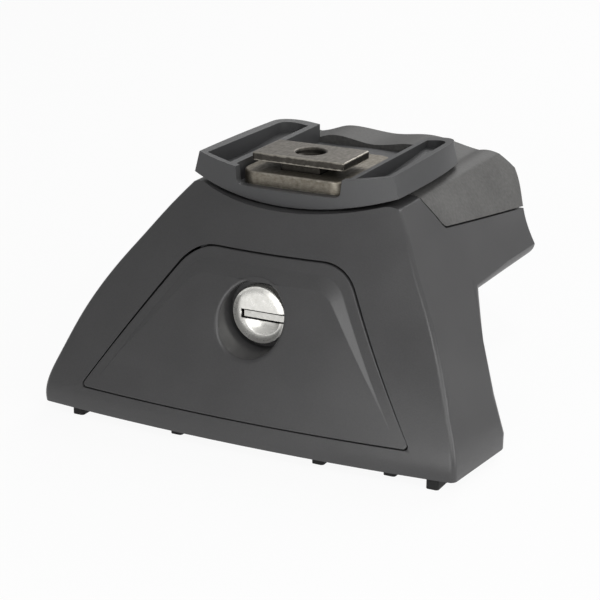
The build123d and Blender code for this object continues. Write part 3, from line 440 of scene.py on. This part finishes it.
def face_depth(u, v):
    """Depth of the lock's face: a dome that falls off at the rim, the key slot, and half a bowl under it."""
    slot, shutter = key_slot(u, v)
    dome = dome_drop * np.clip((np.hypot(u, v) - dome_start) / (face_r - dome_start), 0, 1) ** 2
    bowl = 1 - ((u - scoop_middle[0]) / scoop_reach[0]) ** 2 - ((v - scoop_middle[1]) / scoop_reach[1]) ** 2
    bowl = scoop_depth * np.clip(bowl, 0, 1) * (v < -slot_half - 0.5 * slot_wall)
    key_way = slot * (gap_depth + (shutter_depth - gap_depth) * shutter)
    return np.maximum(np.maximum(dome, key_way), bowl)


def lock_grids():
    """Rings from the rim back over the head and the barrel, the square tang, and the face in rows."""
    wall = np.array([-0.5, 0.5]) * slot_wall
    even = np.sin(np.linspace(-pi / 2, pi / 2, face_points))
    slot_rows = np.add.outer([-slot_half, shutter_gap_low - slot_half, slot_half], wall).ravel()
    slot_columns = np.add.outer([slot_start, slot_start + shutter_gap_left], wall).ravel() / face_r
    v = np.unique(np.concatenate([face_r * even, slot_rows]))
    across = np.unique(np.concatenate([even, slot_columns]))
    width = np.sqrt(np.maximum(face_r**2 - v**2, 0))
    u = width[:, None] * across[None, :]
    vv = v[:, None] + 0 * u
    face = np.stack([u, head_y + face_depth(u, vv), lock_z + vv], -1)

    turn = np.concatenate([np.arctan2(v, width), np.arctan2(v, -width)[::-1]])
    profile = [
        (face_r, head_y),
        (head_r - head_shoulder[0], head_y + head_shoulder[1]),
        (head_r, head_y + head_side),
        (head_r, head_y + head_thick),
        (barrel_r, head_y + head_thick),
        (barrel_r, barrel_end_y),
        (0.0, barrel_end_y),
    ]
    rings = lathe_y(profile, 0.0, lock_z, turn)
    rim_drop = face_depth(face_r * np.cos(turn), face_r * np.sin(turn))
    rings[0, :, 1] += rim_drop
    for row, drop in enumerate(shoulder_drops, 1):
        rings[row, :, 1] = np.maximum(rings[row, :, 1], head_y + rim_drop + drop)

    half, y = np.array(
        [(0.0, tang_root_y), (tang_half, tang_root_y), (tang_half, tang_end_y), (0.0, tang_end_y)]
    ).T[:, :, None]
    side_x, side_z = np.array([(1, 1), (-1, 1), (-1, -1), (1, -1)]).T[:, None, :]
    tang = np.stack([half * side_x, y + 0 * side_x, lock_z + half * side_z], -1)
    return [("tube", rings), ("tube", tang), ("sheet", face)]


lock_body = surface_piece("lock_body", lock_grids(), lock_sharp_angle, corner_reach)
# Painted shade for the key slot: a share at each corner, full in the gaps beside the shutter down to the
# barrel, slight on the shutter
spots = np.empty(3 * len(lock_body.data.vertices))
lock_body.data.vertices.foreach_get("co", spots)
spot_x, spot_y, spot_z = spots.reshape(-1, 3).T / mm
spot_slot, spot_shutter = key_slot(spot_x, spot_z - lock_z)
spot_painted_shade = spot_slot * (1 - shutter_spared * spot_shutter) * (spot_y < head_y + gap_depth + slot_wall)
gap_painted_shade = lock_body.data.attributes.new("gap_painted_shade", "FLOAT", "POINT")
gap_painted_shade.data.foreach_set("value", spot_painted_shade)

# Handled metal: long fine scratches and soft cloudy stains
handled_metal, given, put = new_group(
    "handled_metal", [("Scratch", "Float"), ("Stain", "Float")], ["Tone", "Height"]
)
stretch = node(handled_metal, "ShaderNodeMapping", {"Vector": given["Place"], "Scale": (1.0, 0.2, 6.0)})
metal_lines = noise(handled_metal, stretch.outputs["Vector"], given["Scratch"], 4.0)
metal_stains = noise(handled_metal, given["Place"], given["Stain"], 5.0)
metal_tone = blend(handled_metal, 0.6, metal_lines, metal_stains, "FLOAT")
handled_metal.links.new(spread(handled_metal, metal_tone, 0.32, 0.68), put["Tone"])
handled_metal.links.new(metal_lines, put["Height"])


def metal_finish(name, dark, light, rough, scratch, stain, depth, metallic=1.0):
    """Plated or bare metal: colour and roughness from the stains, bump from the scratches."""
    finish, tree, shader, place = new_finish(name, Metallic=metallic)
    sockets = {"Place": place, "Scratch": scratch, "Stain": stain}
    worn = node(tree, "ShaderNodeGroup", sockets, node_tree=handled_metal).outputs
    feed_shader(tree, shader, blend(tree, worn["Tone"], dark, light), worn, rough, 0.4, depth)
    return finish


lock_nickel = metal_finish(
    "lock_nickel",
    nickel_dark,
    nickel_light,
    rough=(0.4, 0.22),
    scratch=900.0,
    stain=700.0,
    depth=0.03 * mm,
    metallic=0.8,
)
# Painted shade in the gap beside the shutter, from just under the face down, and a slight painted shade on the
# recessed shutter
nickel_tree = lock_nickel.node_tree
plating = nickel_tree.nodes["Principled BSDF"].inputs["Base Color"]
inside = node(nickel_tree, "ShaderNodeAttribute", attribute_name="gap_painted_shade")
painted_shade_share = spread(nickel_tree, inside.outputs["Fac"], 0.03, 0.2)
shaded_plating = blend(nickel_tree, painted_shade_share, plating.links[0].from_socket, painted_shade_black)
nickel_tree.links.new(shaded_plating, plating)
lock_body.data.materials.append(lock_nickel)
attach(lock_body, "lock")
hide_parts("lock_core")

turned_brass = metal_finish(
    "turned_brass",
    (0.5, 0.36, 0.16, 1),
    (0.68, 0.52, 0.26, 1),
    rough=(0.4, 0.25),
    scratch=1400.0,
    stain=300.0,
    depth=0.02 * mm,
)
bright_steel = metal_finish(
    "bright_steel",
    (0.42, 0.42, 0.42, 1),
    (0.6, 0.6, 0.59, 1),
    rough=(0.45, 0.28),
    scratch=1200.0,
    stain=260.0,
    depth=0.02 * mm,
)


def dress(cad_name, finish):
    """Give a CAD node one finish all over."""
    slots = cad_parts[cad_name].data.materials
    slots.clear()
    slots.append(finish)


dress("lock_sleeve", turned_brass)
dress("lock_wafers", turned_brass)
dress("lock_cam", bright_steel)
dress("cam_screw", bright_steel)

# Rear boot. A soft rubber skin with a coarse grain, moulded over the rear of the arm, with two low ridges
# behind the bar pad. It sits in a recess of the housing with a fine open seam around it.
boot_edge = 0.4 * mm
boot_rubber = moulded_finish(
    "boot_rubber",
    (0.056, 0.055, 0.053, 1.0),
    (0.126, 0.124, 0.120, 1.0),
    rough=(0.55, 0.75),
    pits=1150.0,
    flow=80.0,
    depth=0.16 * mm,
)
boot_skin = merged_copy("rear_boot", "boot_skin")
round_edges(boot_skin, boot_edge)
boot_skin.data.materials.append(boot_rubber)
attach(boot_skin, "foot")
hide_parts("rear_boot")

# Bar pad. A firm rubber saddle under the bar, smooth from a polished mould, with a channel for the clamp plate
# and an open tray each side. Two screws hold it to the chassis's seat.
pad_edge = 0.35 * mm
pad_rubber = moulded_finish(
    "pad_rubber",
    (0.042, 0.0425, 0.044, 1.0),
    (0.052, 0.0525, 0.054, 1.0),
    rough=(0.42, 0.5),
    pits=3200.0,
    flow=90.0,
    depth=0.02 * mm,
)
pad_saddle = merged_copy("bar_pad", "pad_saddle")
round_edges(pad_saddle, pad_edge)
pad_saddle.data.materials.append(pad_rubber)
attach(pad_saddle, "foot")
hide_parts("bar_pad")

# Clamp plate and nut. Stamped steel with a dull, faintly bronze zinc finish that is worn bright along its
# edges. The plate lies on the pad's channel and the nut stands over it on its neck, with a cut thread
# for the bolt that comes up from below.
steel_edge = 0.15 * mm
nut_y = 26.0
nut_top_z = 72.4
nut_half = np.array([14.0, 8.0, 1.1])
nut_middle = np.array([0.0, nut_y, nut_top_z - nut_half[2]])
thread_pitch = 1.25
thread_crest_r = 3.42
thread_root_r = 4.2
thread_turns = 0.95
thread_low_z = 69.45
thread_points = 96
thread_fade = pi / 3
thread_end = 0.02
thread_fill = 0.96
shaded_below = (0.3 * mm, 0.1 * mm)
wear_reach = 0.9 * mm
worn_steel = (0.5, 0.47, 0.41, 1)


def vector_math(tree, operation, *values):
    """Vector worked out from other vectors."""
    return node(tree, "ShaderNodeVectorMath", dict(enumerate(values)), operation=operation).outputs["Vector"]


def plain_math(tree, operation, first, second):
    """Value worked out from two others."""
    return node(tree, "ShaderNodeMath", {0: first, 1: second}, operation=operation).outputs[0]


# Edge wear: bright where a point lies close to two outer faces of a block, broken up by a noise
edge_wear, given, put = new_group(
    "edge_wear", [("Middle", "Vector"), ("Half", "Vector"), ("Reach", "Float")], ["Wear"]
)
away = vector_math(edge_wear, "ABSOLUTE", vector_math(edge_wear, "SUBTRACT", given["Place"], given["Middle"]))
within = vector_math(edge_wear, "SUBTRACT", given["Half"], away)
in_x, in_y, in_z = node(edge_wear, "ShaderNodeSeparateXYZ", {"Vector": within}).outputs
near_side = plain_math(edge_wear, "MAXIMUM", plain_math(edge_wear, "MINIMUM", in_x, in_y), in_z)
near_edge = plain_math(edge_wear, "MINIMUM", near_side, plain_math(edge_wear, "MAXIMUM", in_x, in_y))
rubbed = plain_math(edge_wear, "MULTIPLY", given["Reach"], noise(edge_wear, given["Place"], 700.0, 3.0))
edge_wear.links.new(spread(edge_wear, near_edge, rubbed, 0.0), put["Wear"])


def zinc_finish(name, dark, light, side, middle, half):
    """Dull zinc over steel: darker below the top's edge by a share, bright steel along the block's edges."""
    finish, tree, shader, place = new_finish(name, Metallic=1.0)
    sockets = {"Place": place, "Scratch": 1100.0, "Stain": 900.0}
    worn = node(tree, "ShaderNodeGroup", sockets, node_tree=handled_metal).outputs
    height = node(tree, "ShaderNodeSeparateXYZ", {"Vector": place}).outputs["Z"]
    shade_low, shade_high = (middle[2] + half[2] - depth for depth in shaded_below)
    ends = {"Value": height, "From Min": shade_low, "From Max": shade_high, "To Min": side}
    below = node(tree, "ShaderNodeMapRange", ends).outputs["Result"]
    dull = {0: blend(tree, worn["Tone"], dark, light), "Scale": below}
    sheared = node(tree, "ShaderNodeVectorMath", dull, operation="SCALE").outputs["Vector"]
    sockets = {"Place": place, "Middle": middle, "Half": half, "Reach": wear_reach}
    edges = node(tree, "ShaderNodeGroup", sockets, node_tree=edge_wear).outputs
    colour = blend(tree, edges["Wear"], sheared, worn_steel)
    feed_shader(tree, shader, colour, worn, (0.55, 0.4), 0.5, 0.05 * mm)
    return finish


plate_low, plate_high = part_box("clamp_plate")
plate_zinc = zinc_finish(
    "plate_zinc",
    (0.13, 0.115, 0.09, 1),
    (0.25, 0.23, 0.195, 1),
    side=1.0,
    middle=(plate_low + plate_high) / 2,
    half=(plate_high - plate_low) / 2,
)
plate_blank = merged_copy("clamp_plate", "plate_blank")
round_edges(plate_blank, steel_edge)
plate_blank.data.materials.append(plate_zinc)
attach(plate_blank, "foot")
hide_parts("clamp_plate")

nut_zinc = zinc_finish(
    "nut_zinc",
    (0.10, 0.092, 0.08, 1),
    (0.205, 0.19, 0.168, 1),
    side=0.36,
    middle=nut_middle * mm,
    half=nut_half * mm,
)
nut_block = merged_copy("t_nut", "nut_block")
round_edges(nut_block, steel_edge)
nut_block.data.materials.append(nut_zinc)
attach(nut_block, "t_nut")
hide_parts("t_nut")


def thread_ridge():
    """A three-sided ridge wound up the hole: crest and two roots climb one pitch in each turn."""
    turn = np.linspace(0, 2 * pi * thread_turns, int(thread_points * thread_turns))
    fade = np.clip(np.minimum(turn, turn[-1] - turn) / thread_fade, thread_end, 1)
    stand = np.array([0.0, thread_crest_r - thread_root_r, 0.0])
    radius = thread_root_r + stand[None, :] * fade[:, None]
    climb = thread_low_z + thread_pitch * (turn / (2 * pi) + 0.5)
    rise = np.array([-0.5, 0.0, 0.5]) * thread_pitch * thread_fill
    x = radius * np.cos(turn)[:, None]
    y = nut_y + radius * np.sin(turn)[:, None]
    grid = np.stack([x, y, climb[:, None] + rise[None, :]], -1)
    ends = np.repeat(grid.mean(1)[[0, -1]][:, None, :], 3, 1)
    return np.concatenate([ends[:1], grid, ends[1:]])


nut_thread = surface_piece("nut_thread", [("tube", thread_ridge())], 40)
nut_thread.data.materials.append(nut_zinc)
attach(nut_thread, "t_nut")
dress("bar_bolt", bright_steel)
dress("bar_bolt_washer", bright_steel)

# Chassis and clamp jaw. Aluminium castings, left as cast with a sandy skin. The chassis carries the load from
# the pad's seat down two cheeks to the base plate, and the jaw slides in its window.
cast_alloy = metal_finish(
    "cast_alloy",
    (0.36, 0.36, 0.37, 1),
    (0.5, 0.5, 0.51, 1),
    rough=(0.68, 0.5),
    scratch=500.0,
    stain=900.0,
    depth=0.08 * mm,
)
dress("chassis", cast_alloy)
dress("clamp_jaw", cast_alloy)

# Screws and bolts. Cold-headed steel with bright zinc plating: the jaw's bolt with its washer and clip, and the
# screws that hold the housing and the bar pad to the chassis's deck.
for fastener in ("jaw_bolt", "jaw_bolt_washer", "jaw_bolt_clip", "housing_screws", "pad_screws"):
    dress(fastener, bright_steel)

# Base pad. A soft black rubber sheet with six ribs that rest on the roof. It is moulded in one piece and
# pushed up under the base plate.
base_edge = 0.4 * mm
base_rubber = moulded_finish(
    "base_rubber",
    (0.012, 0.012, 0.012, 1.0),
    (0.022, 0.022, 0.022, 1.0),
    rough=(0.55, 0.7),
    pits=1800.0,
    flow=70.0,
    depth=0.05 * mm,
    Specular_IOR_Level=0.2,
)
base_sheet = merged_copy("base_pad", "base_sheet")
round_edges(base_sheet, base_edge)
base_sheet.data.materials.append(base_rubber)
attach(base_sheet, "foot")
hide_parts("base_pad")

# Studio. A pale floor that keeps the shadow, a surround that the camera sees as white, five soft boxes at a
# low power, and the camera.
floor_half = 4.0
floor_glow = 0.93
floor_grey = (0.86, 0.86, 0.86, 1)
white = (1, 1, 1, 1)
sky_sheen = 0.42
sky_fill = 0.1
foot_middle = (0, 0.02, 0.04)
front_middle = (0, 0.02, 0.03)
camera_spot = (0.2368, -0.4370, 0.2064)
camera_aim = (0.017925, -0.015, 0.044711)
sensor_width = 36.0
focal_pixels = 1963.84
picture_pixels = 600

floor_mesh = bpy.data.meshes.new("studio_floor")
floor_corners = np.array([(-1, -1, 0), (1, -1, 0), (1, 1, 0), (-1, 1, 0)]) * floor_half
floor_mesh.from_pydata(floor_corners.tolist(), [], [(0, 1, 2, 3)])
studio_floor = in_scene("studio_floor", floor_mesh)
floor_paint = bpy.data.materials.new("floor_paint")
floor_paint.use_nodes = True
floor_tree = floor_paint.node_tree
floor_tree.nodes.remove(floor_tree.nodes["Principled BSDF"])
paint = node(floor_tree, "ShaderNodeBsdfDiffuse", {"Color": floor_grey}).outputs[0]
glow = node(floor_tree, "ShaderNodeEmission", {"Color": white, "Strength": 1.0}).outputs[0]
rays = node(floor_tree, "ShaderNodeLightPath").outputs
seen = plain_math(floor_tree, "MAXIMUM", rays["Is Camera Ray"], rays["Is Glossy Ray"])
share = plain_math(floor_tree, "MULTIPLY", seen, floor_glow)
mixed = node(floor_tree, "ShaderNodeMixShader", {0: share, 1: paint, 2: glow}).outputs[0]
floor_tree.links.new(mixed, floor_tree.nodes["Material Output"].inputs["Surface"])
floor_mesh.materials.append(floor_paint)

surround = bpy.data.worlds.new("surround")
surround.use_nodes = True
bpy.context.scene.world = surround
sky = surround.node_tree
plain = sky.nodes["Background"]
plain.inputs["Color"].default_value = white
rays = node(sky, "ShaderNodeLightPath").outputs
seen = plain_math(sky, "MAXIMUM", rays["Is Camera Ray"], rays["Is Transmission Ray"])
glossy = plain_math(sky, "MULTIPLY", rays["Is Glossy Ray"], sky_sheen)
fill = plain_math(sky, "MULTIPLY", rays["Is Diffuse Ray"], sky_fill)
level = plain_math(sky, "MAXIMUM", seen, plain_math(sky, "MAXIMUM", fill, glossy))
sky.links.new(level, plain.inputs["Strength"])


def point_at(holder, spot, aim):
    """Put a lamp or the camera at a spot, turned to face its aim."""
    holder.location = spot
    holder.rotation_euler = (Vector(aim) - Vector(spot)).to_track_quat("-Z", "Y").to_euler()


def soft_box(name, spot, aim, wide, high, power):
    """Rectangular area lamp at a spot, turned to face its aim."""
    lamp = bpy.data.lights.new(name, "AREA")
    lamp.shape = "RECTANGLE"
    lamp.size = wide
    lamp.size_y = high
    lamp.energy = power
    point_at(in_scene(name, lamp), spot, aim)


soft_box("right_box", (0.85, 0.12, 0.3), foot_middle, wide=0.5, high=0.5, power=2.9)
soft_box("front_box", (0.10, -0.42, 0.04), front_middle, wide=0.3, high=0.3, power=1.1)
soft_box("crown_box", (0.0, 0.7, 0.7), foot_middle, wide=0.6, high=0.6, power=4.4)
soft_box("band_box", (0.3, -0.43, 0.72), foot_middle, wide=0.12, high=0.12, power=1.5)
soft_box("edge_box", (0.57, -0.36, 0.44), foot_middle, wide=0.05, high=0.4, power=1.2)

lens = bpy.data.cameras.new("camera")
lens.sensor_width = sensor_width
lens.lens = sensor_width * focal_pixels / picture_pixels
lens.clip_start = 0.01
lens.clip_end = 20.0
camera = in_scene("camera", lens)
point_at(camera, camera_spot, camera_aim)
bpy.context.scene.camera = camera
bpy.context.scene.view_settings.view_transform = "Standard"
